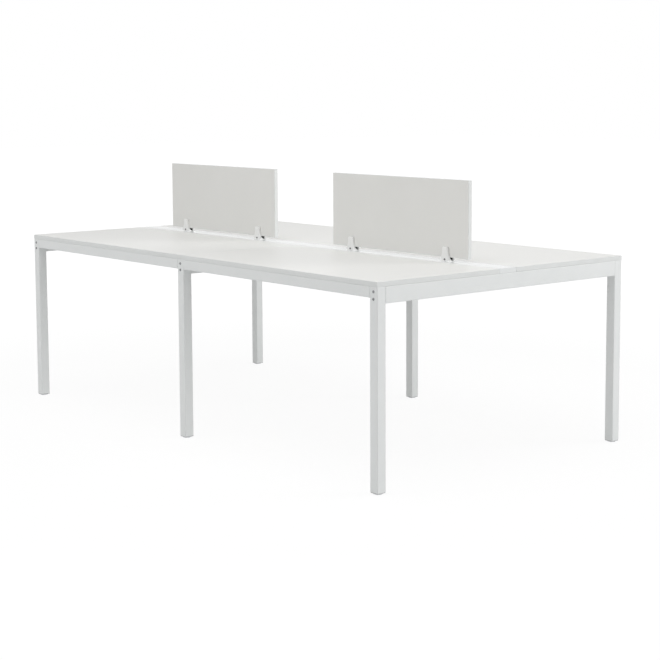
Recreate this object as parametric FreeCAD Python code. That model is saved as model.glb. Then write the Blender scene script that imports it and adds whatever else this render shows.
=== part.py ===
import FreeCAD, Part
import math
import os
from FreeCAD import Placement, Rotation, Vector

# Four-person bench desk: four tops on a bolted square tube frame, and two low screens clipped over the middle.
# Millimetres. +X runs along the desk, +Y to the back, +Z up. The origin is on the floor under the middle.

# Overall sizes
desk_length = 2400.0
desk_height = 750.0
top_depth = 600.0
centre_gap = 90.0

# Tops: laminated board with plastic edging
top_thickness = 18.0
top_joint = 1.0
top_edging = 2.0
edging_bevel = 1.0

# Frame tubes
leg_size = 40.0
side_rail_height = 40.0
side_rail_width = 40.0
cross_rail_height = 60.0
cross_rail_width = 40.0
tube_wall = 1.5
tube_corner = 3.0
plug_clearance = 0.2

# Levelling feet and the caps that hold them
foot_hexagon = 30.0
foot_height = 4.0
foot_stud_diameter = 8.0
foot_travel = 15.0
foot_thread_left = 12.0
cap_flange = 3.0
cap_depth = 30.0
thread_clearance = 0.08

# Bolts that pull the legs against the cross rails
bolt_diameter = 6.0
bolt_spacing = 26.0
bolt_head_diameter = 10.5
bolt_head_height = 3.3
bolt_neck_length = 4.0
bolt_clearance = 0.1
nut_plate_thickness = 6.0

# Stub tubes on the legs that the side rails slide over
stub_length = 45.0
stub_wall = 3.0

# Tabs on the side rails that the tops are screwed down to
tab_length = 30.0
tab_reach = 25.0
tab_thickness = 3.0
tab_spacing = 760.0

# Folded steel beam whose crown fills the gap between the front and back tops
crown_gap = 1.0
beam_sheet = 2.0
beam_bend = 2.0
beam_flange = 30.0
beam_lip = 25.0
notch_clearance = 1.0

# Screens
screen_length = 800.0
screen_height = 300.0
screen_thickness = 18.0
screen_edging = 1.0
screen_lift = 15.0

# Screen clips
clip_inset = 120.0
clip_width = 28.0
clip_base = 42.0
clip_height = 56.0
clip_corner = 4.0
jaw_thickness = 7.0
jaw_bevel = 1.5
flare_height = 40.0
flare_foot = 18.0
seat_floor = 1.5
seat_hollow = 4.0
liner_thickness = 1.2
liner_inset = 1.0
liner_drop = 2.0
clip_screw_diameter = 4.0
clip_screw_head = 7.0
clip_screw_head_height = 2.4
clip_screw_socket = 3.0
clip_screw_socket_depth = 1.6
clip_screw_end = 1.0

# Places that follow from the sizes above
half_length = desk_length / 2
half_width = top_depth + centre_gap / 2
frame_top = desk_height - top_thickness
leg_bottom = foot_height + cap_flange
bay_middle = half_length / 2
cross_rail_middle = frame_top - cross_rail_height / 2
side_rail_middle = frame_top - side_rail_height / 2
crown_half = centre_gap / 2 - crown_gap
flange_half = crown_half + beam_flange
jaw_inner = screen_thickness / 2 + liner_thickness
jaw_outer = jaw_inner + jaw_thickness
clip_screw_height = screen_lift / 2

# Named sides: left is -X, front is -Y
sides = {"left": -1, "right": 1}
rows = {"front": -1, "back": 1}
columns = {"left": -1, "middle": 0, "right": 1}

# Turns that lay a shape built along +Z on another axis
flat_to_x = Rotation(Vector(1, 1, 1), 120)
flat_to_y = Rotation(Vector(1, 1, 1), 240)
stand_up = Rotation(Vector(1, 0, 0), 90)


def placed(shape, x, y, z, turn=Rotation()):
    """A copy of a shape, turned about the origin and then moved."""
    copy = shape.copy()
    copy.Placement = Placement(Vector(x, y, z), turn)
    return copy


def rounded_rectangle(width, height, radius):
    """A flat rectangle with rounded corners, centred on the origin of the XY plane."""
    x = width / 2 - radius
    y = height / 2 - radius
    up = Vector(0, 0, 1)
    corners = [(x, y), (-x, y), (-x, -y), (x, -y)]
    arcs = []
    for number, (corner_x, corner_y) in enumerate(corners):
        start = 90 * number
        arcs.append(Part.makeCircle(radius, Vector(corner_x, corner_y, 0), up, start, start + 90))
    edges = []
    for arc, following in zip(arcs, arcs[1:] + arcs[:1]):
        edges.append(arc)
        edges.append(Part.makeLine(arc.Vertexes[-1].Point, following.Vertexes[0].Point))
    return Part.Face(Part.Wire(edges))


def flat_outline(points):
    """A flat face in the XY plane. A point is reached by a line, a pair by an arc through its first point."""
    edges = []
    here = Vector(*points[0])
    for step in points[1:] + points[:1]:
        if isinstance(step[0], tuple):
            through, end = Vector(*step[0]), Vector(*step[1])
            edges.append(Part.Arc(here, through, end).toShape())
        else:
            end = Vector(*step)
            edges.append(Part.LineSegment(here, end).toShape())
        here = end
    return Part.Face(Part.Wire(edges))


def bar(width, height, corner, length):
    """A solid bar with rounded corners, along +Z from the origin."""
    return rounded_rectangle(width, height, corner).extrude(Vector(0, 0, length))


def block(width, height, length):
    """A square-cornered block, along +Z from the origin and centred on that axis."""
    return Part.makeBox(width, height, length, Vector(-width / 2, -height / 2, 0))


def tube(width, height, length):
    """A square tube of the frame's wall, along +Z from the origin."""
    hollow = block(width - 2 * tube_wall, height - 2 * tube_wall, length)
    return bar(width, height, tube_corner, length).cut(hollow)


def prism(corners, across_flats, depth):
    """A prism with an even number of corners, along +Z from the origin."""
    radius = across_flats / 2 / math.cos(math.pi / corners)
    turns = [2 * math.pi * k / corners for k in range(corners + 1)]
    points = [Vector(radius * math.cos(turn), radius * math.sin(turn), 0) for turn in turns]
    return Part.Face(Part.makePolygon(points)).extrude(Vector(0, 0, depth))


def edged_board(length, depth, thickness, band):
    """A board and the edging round it, both lying on the XY plane and centred on the origin."""
    core = block(length - 2 * band, depth - 2 * band, thickness)
    outer = block(length, depth, thickness)
    rims = [edge for edge in outer.Edges if edge.BoundBox.ZLength < thickness / 2]
    outer = outer.makeChamfer(min(edging_bevel, 0.8 * band), rims)
    return core, outer.cut(core)


def save(name, *solids):
    """Writes one piece, or a group of like pieces, under its node's name."""
    shape = solids[0] if len(solids) == 1 else Part.makeCompound(list(solids))
    shape.exportStep("parts/" + name + ".step")


def make_tops():
    """Four tops, each a board with edging round it."""
    length = half_length - top_joint / 2
    core, edging = edged_board(length, top_depth, top_thickness, top_edging)
    for row_name, row in rows.items():
        for side_name, side in sides.items():
            x = side * (half_length - length / 2)
            y = row * (half_width - top_depth / 2)
            name = row_name + "_" + side_name
            save("top_" + name, placed(core, x, y, frame_top))
            save("top_edging_" + name, placed(edging, x, y, frame_top))


def make_legs():
    """Six legs with their caps, levelling feet and bolts, whose square necks sit in square holes."""
    leg = tube(leg_size, leg_size, frame_top - leg_bottom)
    inside = leg_size - 2 * tube_wall - 2 * plug_clearance
    cap = block(leg_size, leg_size, cap_flange)
    cap = cap.makeChamfer(tube_corner, [edge for edge in cap.Edges if edge.BoundBox.ZLength > cap_flange / 2])
    cap = cap.fuse(placed(block(inside, inside, cap_depth), 0, 0, cap_flange))
    cap = cap.cut(prism(12, foot_stud_diameter + 2 * thread_clearance, cap_flange + cap_depth))
    stud_length = foot_travel + foot_thread_left
    stud = Part.makeCylinder(foot_stud_diameter / 2, stud_length, Vector(0, 0, foot_height))
    foot = prism(6, foot_hexagon, foot_height).fuse(stud)

    reach = leg_size + nut_plate_thickness
    bolt = Part.makeCylinder(bolt_head_diameter / 2, bolt_head_height)
    bolt = bolt.fuse(placed(block(bolt_diameter, bolt_diameter, bolt_neck_length), 0, 0, -bolt_neck_length))
    bolt = bolt.fuse(Part.makeCylinder(bolt_diameter / 2, reach - bolt_neck_length, Vector(0, 0, -reach)))
    punch = block(bolt_diameter + 2 * bolt_clearance, bolt_diameter + 2 * bolt_clearance, leg_size)

    bolts = []
    for row_name, row in rows.items():
        for column_name, column in columns.items():
            x = column * (half_length - leg_size / 2)
            y = row * (half_width - leg_size / 2)
            bolt_x = column * (half_length - cross_rail_width / 2)
            punched = placed(leg, x, y, leg_bottom)
            for end in (-1, 1):
                z = cross_rail_middle + end * bolt_spacing / 2
                punched = punched.cut(placed(punch, bolt_x, y + leg_size / 2, z, stand_up))
                bolts.append(placed(bolt, bolt_x, row * half_width, z, Rotation(Vector(1, 0, 0), -row * 90)))
            name = row_name + "_" + column_name
            save("leg_" + name, punched)
            save("leg_cap_" + name, placed(cap, x, y, foot_height))
            save("levelling_foot_" + name, placed(foot, x, y, 0))
    save("leg_bolts", *bolts)


def make_cross_rails():
    """Three cross rails between the legs, each with a drilled nut plate in both ends."""
    half_rail = half_width - leg_size
    rail = tube(cross_rail_height, cross_rail_width, 2 * half_rail)
    spare = 2 * tube_wall + 2 * plug_clearance
    plate = block(cross_rail_height - spare, cross_rail_width - spare, nut_plate_thickness)
    for end in (-1, 1):
        hole = prism(6, bolt_diameter + 2 * bolt_clearance, nut_plate_thickness)
        plate = plate.cut(placed(hole, end * bolt_spacing / 2, 0, 0))
    plates = []
    for name, column in columns.items():
        x = column * (half_length - cross_rail_width / 2)
        save("cross_rail_" + name, placed(rail, x, -half_rail, cross_rail_middle, flat_to_y))
        for y in (-half_rail, half_rail - nut_plate_thickness):
            plates.append(placed(plate, x, y, cross_rail_middle, flat_to_y))
    save("nut_plates", *plates)


def make_side_rails():
    """Four side rails between the legs, each slid over a stub tube on either leg."""
    length = half_length - leg_size - leg_size / 2
    rail = tube(side_rail_width, side_rail_height, length)
    spare = 2 * tube_wall + 2 * plug_clearance
    hollow = spare + 2 * stub_wall
    stub = block(side_rail_width - spare, side_rail_height - spare, stub_length)
    stub = stub.cut(block(side_rail_width - hollow, side_rail_height - hollow, stub_length))
    stubs = []
    for row_name, row in rows.items():
        for side_name, side in sides.items():
            low = leg_size / 2 if side > 0 else leg_size - half_length
            y = row * (half_width - side_rail_width / 2)
            save("side_rail_" + row_name + "_" + side_name, placed(rail, low, y, side_rail_middle, flat_to_x))
            for start in (low, low + length - stub_length):
                stubs.append(placed(stub, start, y, side_rail_middle, flat_to_x))
    save("rail_stubs", *stubs)


def make_top_tabs():
    """Two tabs on the inside of each side rail, level with the rail's top."""
    tab = block(tab_length, tab_reach, tab_thickness)
    tabs = []
    for side in sides.values():
        for row in rows.values():
            y = row * (half_width - side_rail_width - tab_reach / 2)
            for end in (-1, 1):
                x = side * bay_middle + end * tab_spacing / 2
                tabs.append(placed(tab, x, y, frame_top - tab_thickness))
    save("top_tabs", *tabs)


def clip_places():
    """The name and the X place of every clip."""
    for side_name, side in sides.items():
        for end_name, end in (("outer", 1), ("inner", -1)):
            yield side_name + "_" + end_name, side * (bay_middle + end * (screen_length / 2 - clip_inset))


def make_centre_beams():
    """Two hat-section beams, end to end: the crown covers the cross rails and the flanges carry the tops."""
    length = half_length - top_joint / 2
    inner_half = crown_half - beam_sheet
    flange_bottom = -top_thickness - beam_sheet
    lip_bottom = -top_thickness - beam_lip
    section = flat_outline([
        (-flange_half, lip_bottom), (-flange_half, -top_thickness),
        (-crown_half, -top_thickness), (-crown_half, 0), (crown_half, 0), (crown_half, -top_thickness),
        (flange_half, -top_thickness), (flange_half, lip_bottom),
        (flange_half - beam_sheet, lip_bottom), (flange_half - beam_sheet, flange_bottom),
        (inner_half, flange_bottom), (inner_half, -beam_sheet), (-inner_half, -beam_sheet),
        (-inner_half, flange_bottom), (beam_sheet - flange_half, flange_bottom),
        (beam_sheet - flange_half, lip_bottom)])
    beam = placed(section.extrude(Vector(0, 0, length)), top_joint / 2, 0, desk_height, flat_to_x)
    end_plate = placed(block(2 * crown_half, top_thickness, beam_sheet), half_length - beam_sheet, 0,
                       desk_height - top_thickness / 2, flat_to_x)
    beam = beam.fuse(end_plate).removeSplitter()
    long_edges = [edge for edge in beam.Edges if edge.BoundBox.XLength > 1]
    rims = [edge for edge in long_edges if edge.BoundBox.ZMin > desk_height - 1e-3]
    beam = beam.makeFillet(beam_bend, rims)

    notch_depth = beam_lip + beam_sheet
    middle_notch = cross_rail_width / 2 + notch_clearance
    end_notch = cross_rail_width + notch_clearance
    for width, x in ((middle_notch, middle_notch / 2), (end_notch, half_length - end_notch / 2)):
        beam = beam.cut(placed(block(width, 2 * flange_half, notch_depth), x, 0, frame_top - notch_depth))
    save("centre_beam_right", beam)
    save("centre_beam_left", placed(beam, 0, 0, 0, Rotation(Vector(0, 0, 1), 180)))


def make_screens():
    """Two screens on edge over the beams, each a board with edging."""
    core, edging = edged_board(screen_length, screen_height, screen_thickness, screen_edging)
    z = desk_height + screen_lift + screen_height / 2
    for name, side in sides.items():
        x = side * bay_middle
        save("screen_" + name, placed(core, x, screen_thickness / 2, z, stand_up))
        save("screen_edging_" + name, placed(edging, x, screen_thickness / 2, z, stand_up))


def jaw(side_view):
    """A clip's jaw from its side view, cut to a bell outline from the front, narrow above and broad below."""
    narrow = clip_width / 2
    broad = clip_base / 2
    drop = flare_height - flare_foot
    radius = (drop ** 2 + (broad - narrow) ** 2) / (2 * (broad - narrow))
    half_turn = math.asin(drop / radius) / 2
    flare_x = narrow + radius * (1 - math.cos(half_turn))
    flare_z = flare_height - radius * math.sin(half_turn)
    shoulder = clip_height - clip_corner
    front_view = flat_outline([
        (-broad, 0), (broad, 0), (broad, flare_foot), ((flare_x, flare_z), (narrow, flare_height)),
        (narrow, shoulder), (narrow - clip_corner, clip_height), (clip_corner - narrow, clip_height),
        (-narrow, shoulder), (-narrow, flare_height), ((-flare_x, flare_z), (-broad, flare_foot))])
    slab = placed(side_view.extrude(Vector(0, 0, clip_base)), -broad, 0, 0, flat_to_x)
    return slab.common(placed(front_view.extrude(Vector(0, 0, 2 * jaw_outer)), 0, jaw_outer, 0, stand_up))


def make_clips():
    """Four clips: a front jaw with a hollow seat, a back jaw, the rubber between them and the screw."""
    rise = screen_lift - seat_floor
    chord = math.hypot(2 * jaw_inner, rise)
    seat_middle = (screen_lift + seat_floor) / 2
    seat_low = (-seat_hollow * rise / chord, seat_middle - seat_hollow * 2 * jaw_inner / chord)
    seat_front = (-jaw_inner, screen_lift)
    seat_back = (jaw_inner, seat_floor)
    bevel_top = clip_height - jaw_bevel
    front_jaw = jaw(flat_outline([
        (-jaw_outer, 0), (jaw_inner, 0), seat_back, (seat_low, seat_front), (-jaw_inner, clip_height),
        (jaw_bevel - jaw_outer, clip_height), (-jaw_outer, bevel_top)]))
    back_jaw = jaw(flat_outline([
        (jaw_inner, 0), (jaw_outer, 0), (jaw_outer, bevel_top), (jaw_outer - jaw_bevel, clip_height),
        (jaw_inner, clip_height)]))
    tip = clip_height - liner_drop
    slot = screen_thickness / 2
    liner_length = clip_width - 2 * liner_inset
    liner = flat_outline([
        seat_front, (seat_low, seat_back), (jaw_inner, tip), (slot, tip), (slot, screen_lift),
        (-slot, screen_lift), (-slot, tip), (-jaw_inner, tip)])
    liner = placed(liner.extrude(Vector(0, 0, liner_length)), -liner_length / 2, 0, 0, flat_to_x)

    length = 2 * jaw_outer - clip_screw_end
    screw = Part.makeCylinder(clip_screw_head / 2, clip_screw_head_height)
    socket = prism(6, clip_screw_socket, clip_screw_socket_depth)
    screw = screw.cut(placed(socket, 0, 0, clip_screw_head_height - clip_screw_socket_depth))
    screw = screw.fuse(Part.makeCylinder(clip_screw_diameter / 2, length, Vector(0, 0, -length)))
    hole = prism(6, clip_screw_diameter + 2 * bolt_clearance, 2 * jaw_outer)
    hole = placed(hole, 0, jaw_outer, clip_screw_height, stand_up)
    front_jaw, back_jaw, liner = (piece.cut(hole) for piece in (front_jaw, back_jaw, liner))

    screws = []
    for name, x in clip_places():
        save("clip_front_jaw_" + name, placed(front_jaw, x, 0, desk_height))
        save("clip_back_jaw_" + name, placed(back_jaw, x, 0, desk_height))
        save("clip_liner_" + name, placed(liner, x, 0, desk_height))
        screws.append(placed(screw, x, -jaw_outer, desk_height + clip_screw_height, stand_up))
    save("clip_screws", *screws)


os.makedirs("parts", exist_ok=True)
make_tops()
make_legs()
make_cross_rails()
make_side_rails()
make_top_tabs()
make_centre_beams()
make_screens()
make_clips()
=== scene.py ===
import math
import bmesh
import bpy
from mathutils import Matrix, Vector


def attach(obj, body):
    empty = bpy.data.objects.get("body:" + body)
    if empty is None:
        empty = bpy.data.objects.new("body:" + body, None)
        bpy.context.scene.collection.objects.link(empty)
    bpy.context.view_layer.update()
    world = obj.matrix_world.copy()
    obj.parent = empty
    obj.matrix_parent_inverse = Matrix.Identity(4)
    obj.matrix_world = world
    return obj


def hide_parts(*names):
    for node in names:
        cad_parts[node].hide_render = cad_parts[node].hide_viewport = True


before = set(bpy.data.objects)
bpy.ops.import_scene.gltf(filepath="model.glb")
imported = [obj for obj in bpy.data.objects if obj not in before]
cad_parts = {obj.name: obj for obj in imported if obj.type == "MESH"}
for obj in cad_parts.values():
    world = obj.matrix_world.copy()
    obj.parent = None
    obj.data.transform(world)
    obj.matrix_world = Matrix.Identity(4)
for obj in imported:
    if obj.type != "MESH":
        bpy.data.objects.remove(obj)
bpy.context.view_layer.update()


# Legs, cross rails and side rails.
# Square steel tube, cut to length, punched and then powder coated a cool white. The coat melts in an oven and
# sets with a fine orange peel, a little thicker in some places than in others.
def effect(name, inputs, outputs):
    """An empty shader group with named number inputs and named outputs, and its two end nodes."""
    tree = bpy.data.node_groups.new(name, "ShaderNodeTree")
    for label, value in inputs.items():
        socket = tree.interface.new_socket(label, in_out="INPUT", socket_type="NodeSocketFloat")
        socket.default_value = value
    for label in outputs:
        tree.interface.new_socket(label, in_out="OUTPUT", socket_type="NodeSocketFloat")
    return tree, tree.nodes.new("NodeGroupInput"), tree.nodes.new("NodeGroupOutput")


surface_grain, grain_in, grain_out = effect(
    "surface_grain", {"Grains per metre": 600.0, "Patches per metre": 5.0}, ["Grain", "Patches", "Specks"])
place = surface_grain.nodes.new("ShaderNodeTexCoord")
for label, source, detail, soft in (("Grain", "Grains per metre", 3.0, 0.5),
                                    ("Patches", "Patches per metre", 4.0, 0.6)):
    noise = surface_grain.nodes.new("ShaderNodeTexNoise")
    noise.inputs["Detail"].default_value = detail
    noise.inputs["Roughness"].default_value = soft
    surface_grain.links.new(place.outputs["Object"], noise.inputs["Vector"])
    surface_grain.links.new(grain_in.outputs[source], noise.inputs["Scale"])
    surface_grain.links.new(noise.outputs[0], grain_out.inputs[label])
cells = surface_grain.nodes.new("ShaderNodeTexVoronoi")
surface_grain.links.new(place.outputs["Object"], cells.inputs["Vector"])
surface_grain.links.new(grain_in.outputs["Grains per metre"], cells.inputs["Scale"])
surface_grain.links.new(cells.outputs["Distance"], grain_out.inputs["Specks"])


class Finish:
    """A material on the way: its shader, and short ways to give it colour, gloss and texture."""

    def __init__(self, name, metallic=0.0):
        self.material = bpy.data.materials.new(name)
        self.material.use_nodes = True
        self.tree = self.material.node_tree
        self.shader = self.tree.nodes["Principled BSDF"]
        self.shader.inputs["Metallic"].default_value = metallic

    def node(self, kind, **values):
        made = self.tree.nodes.new(kind)
        for label, value in values.items():
            setattr(made, label, value)
        return made

    def join(self, value, socket):
        self.tree.links.new(value, socket)

    def grain(self, grains, patches):
        """The outputs of the surface grain at this finish's own scale."""
        made = self.node("ShaderNodeGroup", node_tree=surface_grain)
        made.inputs["Grains per metre"].default_value = grains
        made.inputs["Patches per metre"].default_value = patches
        return made.outputs

    def colour(self, value, low, high, start=0.3, end=0.7):
        """A base colour that runs from one shade to another as the value goes from start to end."""
        ramp = self.node("ShaderNodeValToRGB")
        for element, position, shade in zip(ramp.color_ramp.elements, (start, end), (low, high)):
            element.position = position
            element.color = (*shade, 1)
        self.join(value, ramp.inputs["Fac"])
        self.join(ramp.outputs["Color"], self.shader.inputs["Base Color"])

    def rough(self, value, low, high):
        """A roughness that runs between two levels over the middle of the value's range."""
        stretch = self.node("ShaderNodeMapRange")
        for label, number in (("From Min", 0.3), ("From Max", 0.7), ("To Min", low), ("To Max", high)):
            stretch.inputs[label].default_value = number
        self.join(value, stretch.inputs["Value"])
        self.join(stretch.outputs["Result"], self.shader.inputs["Roughness"])

    def bumps(self, height, depth, strength):
        bump = self.node("ShaderNodeBump")
        bump.inputs["Distance"].default_value = depth
        bump.inputs["Strength"].default_value = strength
        self.join(height, bump.inputs["Height"])
        self.join(bump.outputs["Normal"], self.shader.inputs["Normal"])

    def put_on(self, *objects):
        for piece in objects:
            piece.data.materials.clear()
            piece.data.materials.append(self.material)


def nodes_named(*starts, but=()):
    """The CAD nodes whose names begin with one of these words, but not with one of those."""
    return [piece for name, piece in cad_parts.items() if name.startswith(starts) and not name.startswith(but)]


powder_coat = Finish("white_powder_coat")
peel = powder_coat.grain(420.0, 6.0)
powder_coat.colour(peel["Patches"], (0.805, 0.825, 0.82), (0.835, 0.85, 0.845))
powder_coat.rough(peel["Patches"], 0.38, 0.47)
powder_coat.bumps(peel["Grain"], 0.00012, 0.5)
powder_coat.put_on(*nodes_named("leg_", "cross_rail_", "side_rail_", "top_tabs", but=("leg_cap_", "leg_bolts")))


# Centre beams.
# Folded steel sheet whose crown shows as a bright strip between the front and back tops. Its coat is whiter and
# glossier than the tubes', so it mirrors the light that comes in under the screens.
beam_coat = Finish("white_beam_coat")
beam_peel = beam_coat.grain(300.0, 5.0)
beam_coat.colour(beam_peel["Patches"], (0.83, 0.85, 0.85), (0.855, 0.87, 0.87))
beam_coat.rough(beam_peel["Patches"], 0.13, 0.19)
beam_coat.bumps(beam_peel["Grain"], 0.00004, 0.4)
beam_coat.put_on(*nodes_named("centre_beam_"))


# Caps in the lower ends of the legs.
# Moulded grey plastic with a spark-eroded texture, pressed into the tube. A threaded hole in the middle takes the
# stud of the levelling foot.
cap_plastic = Finish("grey_cap_plastic")
texture = cap_plastic.grain(1500.0, 30.0)
cap_plastic.colour(texture["Patches"], (0.55, 0.56, 0.56), (0.60, 0.61, 0.61))
cap_plastic.rough(texture["Grain"], 0.48, 0.62)
cap_plastic.bumps(texture["Specks"], 0.00006, 0.6)
cap_plastic.put_on(*nodes_named("leg_cap_"))


# Levelling feet.
# A zinc plated steel hexagon on a threaded stud, turned with a spanner to level the desk. The plating is bright and
# uneven, and the thread shows when the foot is wound out.
hexagon_top, half_pitch = 0.0041, 0.000625
foot_zinc = Finish("zinc_foot", metallic=1.0)
plating = foot_zinc.grain(900.0, 60.0)
foot_zinc.colour(plating["Patches"], (0.50, 0.51, 0.53), (0.66, 0.67, 0.69))
foot_zinc.rough(plating["Grain"], 0.28, 0.48)
height = foot_zinc.node("ShaderNodeSeparateXYZ")
foot_zinc.join(foot_zinc.node("ShaderNodeTexCoord").outputs["Object"], height.inputs["Vector"])
above_hexagon = foot_zinc.node("ShaderNodeMath", operation="GREATER_THAN")
above_hexagon.inputs[1].default_value = hexagon_top
foot_zinc.join(height.outputs["Z"], above_hexagon.inputs[0])
turns = foot_zinc.node("ShaderNodeMath", operation="PINGPONG")
turns.inputs[1].default_value = half_pitch
foot_zinc.join(height.outputs["Z"], turns.inputs[0])
thread = foot_zinc.node("ShaderNodeMath", operation="MULTIPLY")
foot_zinc.join(turns.outputs["Value"], thread.inputs[0])
foot_zinc.join(above_hexagon.outputs["Value"], thread.inputs[1])
foot_zinc.bumps(thread.outputs["Value"], 1.0, 0.9)
foot_zinc.put_on(*nodes_named("levelling_foot_"))


# Nut plates, and the stub tubes that the side rails slide over.
# Plain zinc plated steel, hidden inside the tubes: the plates are held in the ends of the cross rails, and the stubs
# are welded to the legs.
inner_zinc = Finish("zinc_inner_steel", metallic=1.0)
crystals = inner_zinc.grain(250.0, 25.0)
inner_zinc.colour(crystals["Specks"], (0.46, 0.47, 0.49), (0.58, 0.59, 0.61), start=0.1, end=0.8)
inner_zinc.rough(crystals["Patches"], 0.36, 0.55)
inner_zinc.bumps(crystals["Grain"], 0.00004, 0.4)
inner_zinc.put_on(*nodes_named("nut_plates", "rail_stubs"))


# Leg bolts.
# Zinc plated bolts with a low round head, two through each leg into a nut plate, turned with a key in the hexagon
# socket. Their domed heads show as a pair of dark dots on the outside of every leg.
def begin():
    """Leaves edit mode with nothing selected, before a new primitive."""
    if bpy.context.mode != "OBJECT":
        bpy.ops.object.mode_set(mode="OBJECT")
    bpy.ops.object.select_all(action="DESELECT")


def shape():
    """Puts the new primitive's place into its mesh and opens it in edit mode."""
    bpy.ops.object.transform_apply(location=True, rotation=True, scale=True)
    bpy.ops.object.mode_set(mode="EDIT")
    return bpy.context.object


def upright(sides, radius, bottom, top):
    """A new prism or cylinder about the Z axis, in edit mode."""
    begin()
    bpy.ops.mesh.primitive_cylinder_add(vertices=sides, radius=radius, depth=top - bottom,
                                        location=(0, 0, (bottom + top) / 2))
    return shape()


def pick(faces=None, edges=None):
    """Selects faces or edges of the piece in edit mode by a test on them."""
    bpy.ops.mesh.select_mode(type="FACE" if faces else "EDGE")
    mesh = bmesh.from_edit_mesh(bpy.context.object.data)
    for part in [*mesh.verts, *mesh.edges, *mesh.faces]:
        part.select = False
    for part in (mesh.faces if faces else mesh.edges):
        if (faces or edges)(part):
            part.select_set(True)
    bmesh.update_edit_mesh(bpy.context.object.data)


def push(distance):
    """Extrudes what is selected along the Z axis."""
    bpy.ops.mesh.extrude_region_move(TRANSFORM_OT_translate={"value": (0, 0, distance)})


def combine(piece, other, operation, smooth_angle, same_point=1e-6):
    """Joins another solid to the piece being shaped, or cuts it out, merges doubled points and sets the shading."""
    bpy.ops.object.mode_set(mode="OBJECT")
    step = piece.modifiers.new("combine", "BOOLEAN")
    step.operation = operation
    step.object = other
    bpy.ops.object.modifier_apply(modifier=step.name)
    bpy.data.objects.remove(other)
    bpy.ops.object.mode_set(mode="EDIT")
    bpy.ops.mesh.select_all(action="SELECT")
    bpy.ops.mesh.remove_doubles(threshold=same_point)
    bpy.ops.object.mode_set(mode="OBJECT")
    bpy.ops.object.shade_smooth_by_angle(angle=math.radians(smooth_angle))


def copy_to(piece, name, matrix, body="desk"):
    """A copy of a piece with its own mesh, moved to its place there, riding on a body."""
    made = bpy.data.objects.new(name, piece.data.copy())
    made.data.transform(matrix)
    bpy.context.collection.objects.link(made)
    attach(made, body)
    return made


head_radius, head_height, rim_height, rim_bevel = 0.00525, 0.0033, 0.0008, 0.0003
shank_radius, bolt_length, socket_flats, socket_depth = 0.003, 0.046, 0.004, 0.002
leg_middle, leg_face, bolt_levels = 1.18, 0.645, {"lower": 0.689, "upper": 0.715}
corner_per_flat = 1 / math.cos(math.pi / 6)
key_socket = upright(6, socket_flats / 2 * corner_per_flat, head_height - socket_depth, head_height + socket_depth)
begin()
dome_height = head_height - rim_height
dome_radius = (head_radius ** 2 + dome_height ** 2) / (2 * dome_height)
bpy.ops.mesh.primitive_uv_sphere_add(segments=40, ring_count=48, radius=dome_radius,
                                     location=(0, 0, head_height - dome_radius))
bolt = shape()
bpy.ops.mesh.select_all(action="SELECT")
bpy.ops.mesh.bisect(plane_co=(0, 0, rim_height), plane_no=(0, 0, 1), clear_inner=True, use_fill=True)
pick(faces=lambda face: face.normal.z < -0.9)
push(-rim_height)
bpy.ops.mesh.inset(thickness=head_radius - shank_radius, depth=0)
push(-bolt_length)
pick(edges=lambda edge: all(abs(vert.co.z - rim_height) < 1e-5 for vert in edge.verts))
bpy.ops.mesh.bevel(offset=rim_bevel, segments=3)
combine(bolt, key_socket, "DIFFERENCE", 40)
bolt_zinc = Finish("zinc_bolt", metallic=1.0)
spun = bolt_zinc.grain(1400.0, 120.0)
bolt_zinc.colour(spun["Patches"], (0.20, 0.205, 0.21), (0.30, 0.305, 0.315))
bolt_zinc.rough(spun["Grain"], 0.30, 0.45)
bolt_zinc.bumps(spun["Grain"], 0.00003, 0.5)
bolt_zinc.put_on(bolt)
rows = {"front": -1, "back": 1}
bolt_copies = []
for row_name, row in rows.items():
    outward = Matrix.Rotation(-row * math.pi / 2, 4, "X")
    for column_name, column in (("left", -1), ("middle", 0), ("right", 1)):
        for level_name, z in bolt_levels.items():
            spot = Matrix.Translation((column * leg_middle, row * leg_face, z))
            name = f"leg_bolt_{row_name}_{column_name}_{level_name}"
            bolt_copies.append(copy_to(bolt, name, spot @ outward))
bpy.data.objects.remove(bolt)
for made in bolt_copies:
    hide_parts("leg_bolts")


# Screws under the tops, side rails and clips.
# Hexagon washer-head screws: one through each tab and at each place along the beam flanges into the boards, one under
# each end of every side rail that locks it on its stub, and two under each clip that hold it down on the beam.
washer_radius, washer_height, washer_bevel = 0.0048, 0.0009, 0.0003
hexagon_half, hexagon_start, screw_height, dish_rim, dish_depth = 0.0035, 0.0003, 0.0034, 0.0007, 0.0004
hexagon = upright(6, hexagon_half * corner_per_flat, -screw_height, -hexagon_start)
pick(faces=lambda face: face.normal.z < -0.9)
bpy.ops.mesh.inset(thickness=dish_rim, depth=0)
push(dish_depth)
screw = upright(32, washer_radius, -washer_height, 0)
pick(edges=lambda edge: all(abs(vert.co.z + washer_height) < 1e-6 for vert in edge.verts))
bpy.ops.mesh.bevel(offset=washer_bevel, segments=2)
combine(screw, hexagon, "UNION", 30)
screw_zinc = Finish("zinc_screw", metallic=1.0)
scuffed = screw_zinc.grain(1600.0, 150.0)
screw_zinc.colour(scuffed["Patches"], (0.47, 0.47, 0.47), (0.62, 0.61, 0.58))
screw_zinc.rough(scuffed["Grain"], 0.30, 0.52)
screw_zinc.bumps(scuffed["Grain"], 0.00003, 0.5)
screw_zinc.put_on(screw)
bay_middle, board_screw_spread = 0.6, 0.38
tab_y, tab_underside, flange_y, flange_underside = 0.5925, 0.729, 0.059, 0.730
rail_middle, lock_screw_spread, rail_y, rail_underside = 0.59, 0.5475, 0.625, 0.692
clip_places, clip_screw_spread, clip_y, crown_underside = {"outer": 0.88, "inner": 0.32}, 0.013, -0.0137, 0.748
ends = {"a": -1, "b": 1}
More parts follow.
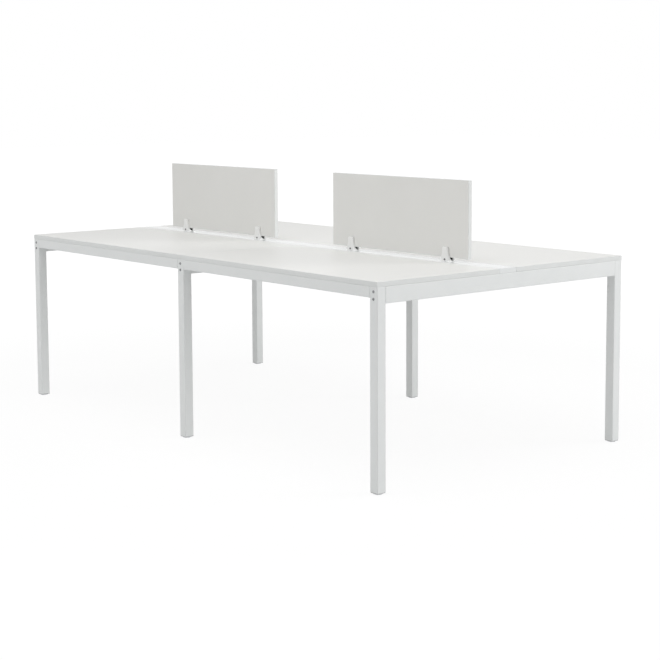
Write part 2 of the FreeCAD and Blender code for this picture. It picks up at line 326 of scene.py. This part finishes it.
for side_name, side in (("left", -1), ("right", 1)):
    for row_name, row in rows.items():
        for end_name, end in ends.items():
            board_x = side * bay_middle + end * board_screw_spread
            lock_x = side * rail_middle + end * lock_screw_spread
            for start, spot in (("tab", (board_x, row * tab_y, tab_underside)),
                                ("flange", (board_x, row * flange_y, flange_underside)),
                                ("lock", (lock_x, row * rail_y, rail_underside))):
                name = f"{start}_screw_{row_name}_{side_name}_{end_name}"
                made = copy_to(screw, name, Matrix.Translation(spot))
    for clip_name, clip_x in clip_places.items():
        for end_name, end in ends.items():
            spot = (side * clip_x + end * clip_screw_spread, clip_y, crown_underside)
            name = f"clip_foot_screw_{side_name}_{clip_name}_{end_name}"
            made = copy_to(screw, name, Matrix.Translation(spot))
bpy.data.objects.remove(screw)


# Tops.
# Particle board faced with a matt white melamine sheet, pressed with a faint pearl texture. The faces are even to the
# eye, with a soft sheen.
laminate = Finish("white_melamine")
laminate.shader.inputs["Specular IOR Level"].default_value = 0.25
pearl = laminate.grain(700.0, 2.5)
laminate.colour(pearl["Patches"], (0.835, 0.835, 0.815), (0.85, 0.85, 0.83))
laminate.rough(pearl["Patches"], 0.38, 0.46)
laminate.bumps(pearl["Specks"], 0.00004, 0.35)
laminate.put_on(*nodes_named("top_", but=("top_edging", "top_tabs")))


# Edging of the tops and screens.
# White plastic band, glued round the cut edges of each board and trimmed with a small bevel. It is extruded, so fine
# lines run along it, and it is glossier than the faces. Its colour is set a little greyer than the faces, which is
# painted shade on the edge faces.
edging = Finish("white_edging")
drawn = edging.grain(300.0, 4.0)
# Painted shade: the edging's colour is greyer than the white faces, so that the edges look shaded.
edging.colour(drawn["Patches"], (0.755, 0.77, 0.762), (0.78, 0.795, 0.787))
edging.rough(drawn["Patches"], 0.33, 0.43)
lines = edging.node("ShaderNodeTexWave", wave_type="BANDS", bands_direction="Z")
lines.inputs["Scale"].default_value = 260.0
lines.inputs["Distortion"].default_value = 1.5
edging.join(edging.node("ShaderNodeTexCoord").outputs["Object"], lines.inputs["Vector"])
edging.bumps(lines.outputs["Fac"], 0.00002, 0.3)
edging.put_on(*nodes_named("top_edging_", "screen_edging_"))


# Screens.
# The same melamine board as the tops, stood on edge in the clips over the centre beam. Its facing is a warmer and
# slightly greyer white.
screen_board = Finish("screen_melamine")
facing = screen_board.grain(700.0, 3.0)
screen_board.colour(facing["Patches"], (0.775, 0.772, 0.748), (0.80, 0.797, 0.773))
screen_board.rough(facing["Patches"], 0.38, 0.46)
screen_board.bumps(facing["Specks"], 0.00004, 0.35)
screen_board.put_on(*nodes_named("screen_left", "screen_right"))


# Screen clips.
# Die-cast alloy with a pale satin coat, two to a screen. Each is a front jaw with a seat and a back jaw, both flared
# to a broad foot that stands on the beam, and they hold the board between strips of black rubber.
clip_coat = Finish("clip_coat")
cast = clip_coat.grain(800.0, 40.0)
clip_coat.colour(cast["Patches"], (0.88, 0.88, 0.87), (0.91, 0.91, 0.90))
clip_coat.rough(cast["Grain"], 0.38, 0.52)
clip_coat.bumps(cast["Grain"], 0.00008, 0.5)
clip_coat.put_on(*nodes_named("clip_front_jaw_", "clip_back_jaw_"))


# Rubber liners in the clips.
# Black moulded rubber with a dull skin. It lines both jaws and fills the hollow seat under the screen, so that the
# board is gripped without marks.
rubber = Finish("black_rubber")
skin = rubber.grain(2500.0, 90.0)
rubber.colour(skin["Patches"], (0.012, 0.012, 0.012), (0.03, 0.03, 0.03))
rubber.rough(skin["Grain"], 0.65, 0.85)
rubber.bumps(skin["Grain"], 0.00005, 0.6)
rubber.put_on(*nodes_named("clip_liner_"))


# Clip screws.
# Dark plated steel with a hexagon socket in a round head. Each passes under the screen and draws the two jaws
# together.
dark_steel = Finish("dark_steel", metallic=1.0)
dull = dark_steel.grain(1800.0, 200.0)
dark_steel.colour(dull["Patches"], (0.17, 0.17, 0.175), (0.25, 0.25, 0.26))
dark_steel.rough(dull["Grain"], 0.38, 0.55)
dark_steel.bumps(dull["Grain"], 0.00003, 0.5)
dark_steel.put_on(*nodes_named("clip_screws"))


# Floor and backdrop.
# A plain pale studio floor that keeps a faint shadow under the desk. Away from the desk it runs out to white, so no
# horizon shows.
def background_seen(tree):
    """1 where the camera sees the background, directly, in metal or through glass, and 0 for light on the desk."""
    ray = tree.nodes.new("ShaderNodeLightPath")
    either = ray.outputs["Is Camera Ray"]
    for label in ("Is Glossy Ray", "Is Transmission Ray"):
        most = tree.nodes.new("ShaderNodeMath")
        most.operation = "MAXIMUM"
        tree.links.new(either, most.inputs[0])
        tree.links.new(ray.outputs[label], most.inputs[1])
        either = most.outputs["Value"]
    return either


shadow_reach, white_from, glow_by_desk, glow_far_off = 2.0, 5.0, 0.85, 1.0
begin()
bpy.ops.mesh.primitive_plane_add(size=60, location=(0, 0, 0))
floor = bpy.context.object
floor.name = "studio_floor"
floor_white = Finish("studio_white")
floor_white.shader.inputs["Base Color"].default_value = (0.8, 0.8, 0.8, 1)
floor_white.shader.inputs["Roughness"].default_value = 0.9
floor_white.shader.inputs["Specular IOR Level"].default_value = 0.0
glow = floor_white.node("ShaderNodeEmission")
glow.inputs["Strength"].default_value = 1.055
from_desk = floor_white.node("ShaderNodeVectorMath", operation="LENGTH")
floor_white.join(floor_white.node("ShaderNodeTexCoord").outputs["Object"], from_desk.inputs[0])
whiter = floor_white.node("ShaderNodeMapRange")
for label, number in (("From Min", shadow_reach), ("From Max", white_from),
                      ("To Min", glow_by_desk), ("To Max", glow_far_off)):
    whiter.inputs[label].default_value = number
floor_white.join(from_desk.outputs["Value"], whiter.inputs["Value"])
share = floor_white.node("ShaderNodeMath", operation="MULTIPLY")
floor_white.join(background_seen(floor_white.tree), share.inputs[0])
floor_white.join(whiter.outputs["Result"], share.inputs[1])
blend = floor_white.node("ShaderNodeMixShader")
floor_white.join(share.outputs["Value"], blend.inputs["Fac"])
floor_white.join(floor_white.shader.outputs["BSDF"], blend.inputs[1])
floor_white.join(glow.outputs["Emission"], blend.inputs[2])
floor_white.join(blend.outputs["Shader"], floor_white.tree.nodes["Material Output"].inputs["Surface"])
floor_white.put_on(floor)


# Light.
# Soft white light from all round and three wide lamps: one overhead, a stronger one off the back right-hand corner
# that reaches in under the screens, and a weak low one in front that lights the faces of the back legs.
world = bpy.data.worlds.new("studio")
bpy.context.scene.world = world
world.use_nodes = True
studio = world.node_tree
sky = studio.nodes["Background"]
sky.inputs["Color"].default_value = (1, 1, 1, 1)
direction = studio.nodes.new("ShaderNodeSeparateXYZ")
studio.links.new(studio.nodes.new("ShaderNodeTexCoord").outputs["Generated"], direction.inputs["Vector"])
toward_end = studio.nodes.new("ShaderNodeMapRange")
toward_end.inputs["To Min"].default_value = 0.48
toward_end.inputs["To Max"].default_value = 0.51
studio.links.new(direction.outputs["X"], toward_end.inputs["Value"])
level = studio.nodes.new("ShaderNodeMapRange")
level.inputs["To Max"].default_value = 1.0
studio.links.new(toward_end.outputs["Result"], level.inputs["To Min"])
studio.links.new(background_seen(studio), level.inputs["Value"])
studio.links.new(level.outputs["Result"], sky.inputs["Strength"])
for name, spot, aim, size, power in (("overhead", (0.8, -1.0, 4.2), (0.3, 0, 0.7), 4.0, 63.0),
                                     ("back_end", (8.2, 9.0, 3.9), (0.2, 0.2, 0.7), 5.0, 590.0),
                                     ("front_fill", (-1.5, -4.6, 1.4), (-0.2, 0, 0.6), 2.5, 25.0)):
    lamp_data = bpy.data.lights.new(name, "AREA")
    lamp_data.size = size
    lamp_data.energy = power
    lamp = bpy.data.objects.new(name, lamp_data)
    lamp.location = spot
    lamp.rotation_mode = "QUATERNION"
    lamp.rotation_quaternion = (Vector(aim) - Vector(spot)).to_track_quat("-Z", "Y")
    bpy.context.collection.objects.link(lamp)


# Camera.
# Stands off the right-hand front corner at eye height, with a long lens. The place, angles and focal length come from
# a fit to the desk's edges, in pixels of the picture.
camera_place = Vector((5.1249, -4.1030, 1.3990))
azimuth, downward, roll = math.radians(50.39), math.radians(6.24), -0.0047
focal_pixels, centre_y, picture, film_width = 1536.1, 260.0, 660.0, 36.0
back = Vector((math.sin(azimuth) * math.cos(downward), -math.cos(azimuth) * math.cos(downward), math.sin(downward)))
level_right = Vector((math.cos(azimuth), math.sin(azimuth), 0))
level_up = back.cross(level_right)
right = math.cos(roll) * level_right + math.sin(roll) * level_up
up = math.cos(roll) * level_up - math.sin(roll) * level_right
camera_data = bpy.data.cameras.new("camera")
camera_data.sensor_width = film_width
camera_data.lens = film_width * focal_pixels / picture
camera_data.shift_y = (centre_y - picture / 2) / picture
camera_data.clip_end = 200.0
camera = bpy.data.objects.new("camera", camera_data)
camera.rotation_mode = "QUATERNION"
camera.rotation_quaternion = Matrix((right, up, back)).transposed().to_quaternion()
camera.location = camera_place
bpy.context.collection.objects.link(camera)
bpy.context.scene.camera = camera
bpy.context.scene.view_settings.view_transform = "Standard"
